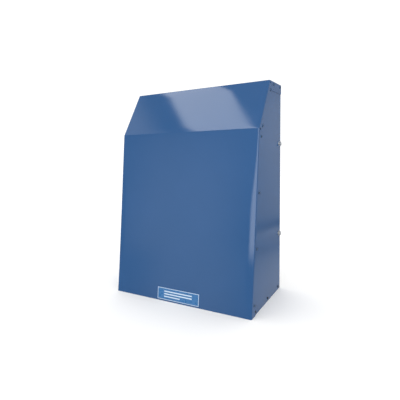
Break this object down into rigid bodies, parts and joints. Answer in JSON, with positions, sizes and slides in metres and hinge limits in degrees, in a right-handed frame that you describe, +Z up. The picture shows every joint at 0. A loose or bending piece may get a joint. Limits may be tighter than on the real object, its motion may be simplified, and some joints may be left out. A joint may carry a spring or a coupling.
{
  "type": "weather hood",
  "caption": "Wall-mounted weather hood of bent, painted sheet steel with a slanted upper front, an open bottom with a bird guard, and a gravity shutter on the duct opening.",
  "frame": {"origin": "middle of the wall face, at the centre of the four wall holes and of the duct opening", "axes": "+X across the hood, -Y out from the wall towards the front, +Z up"},
  "size_m": [0.5106, 0.2903, 0.7],
  "materials": {
    "blue_paint": "gloss",
    "galvanised": "satin",
    "zinc": "satin",
    "stainless_wire": "satin",
    "dark_screw": "satin",
    "aluminium": "satin",
    "foam_rubber": "matt",
    "nylon": "matt",
    "label": "gloss"
  },
  "bodies": {
    "hood": {"front_sheet": "blue_paint", "side_panel_left": "blue_paint", "side_panel_right": "blue_paint", "front_stiffener": "galvanised", "bottom_frame": "blue_paint", "guard_frame": "galvanised", "guard_mesh": "stainless_wire", "nameplate": "label", "sheet_screws": "dark_screw", "base_screws": "dark_screw", "guard_screws": "zinc", "damper_screws": "zinc", "hood_bolts": "zinc", "hood_washers": "zinc", "rivet_nuts": "zinc", "lip_rivets": "aluminium", "wall_frame": "galvanised", "wall_gasket": "foam_rubber", "damper_frame": "galvanised", "damper_seals": "foam_rubber", "drip_lip": "galvanised", "blade_bushes": "nylon"},
    "shutter_1": {"blade_1": "aluminium", "pivot_rod_1": "zinc"},
    "shutter_2": {"blade_2": "aluminium", "pivot_rod_2": "zinc"},
    "shutter_3": {"blade_3": "aluminium", "pivot_rod_3": "zinc"},
    "shutter_4": {"blade_4": "aluminium", "pivot_rod_4": "zinc"},
    "tie": {"tie_bar": "galvanised", "tie_pins": "zinc"}
  },
  "joints": [
    {"name": "blade_1_swing", "type": "hinge", "parent": "hood", "child": "shutter_1", "pos_m": [0, -0.037, 0.192], "axis": [-1, 0, 0], "range_deg": [0, 75]},
    {"name": "blade_2_swing", "type": "hinge", "parent": "hood", "child": "shutter_2", "pos_m": [0, -0.037, 0.094], "axis": [-1, 0, 0], "range_deg": [0, 75]},
    {"name": "blade_3_swing", "type": "hinge", "parent": "hood", "child": "shutter_3", "pos_m": [0, -0.037, -0.004], "axis": [-1, 0, 0], "range_deg": [0, 75]},
    {"name": "blade_4_swing", "type": "hinge", "parent": "hood", "child": "shutter_4", "pos_m": [0, -0.037, -0.102], "axis": [-1, 0, 0], "range_deg": [0, 75]},
    {"name": "tie_bar_turn", "type": "hinge", "parent": "shutter_1", "child": "tie", "pos_m": [-0.1912, -0.047, 0.156], "axis": [-1, 0, 0], "range_deg": [-75, 0]}
  ],
  "couplings": [
    {"joint": "blade_2_swing", "follows": "blade_1_swing", "ratio": 1},
    {"joint": "blade_3_swing", "follows": "blade_1_swing", "ratio": 1},
    {"joint": "blade_4_swing", "follows": "blade_1_swing", "ratio": 1},
    {"joint": "tie_bar_turn", "follows": "blade_1_swing", "ratio": -1}
  ]
}
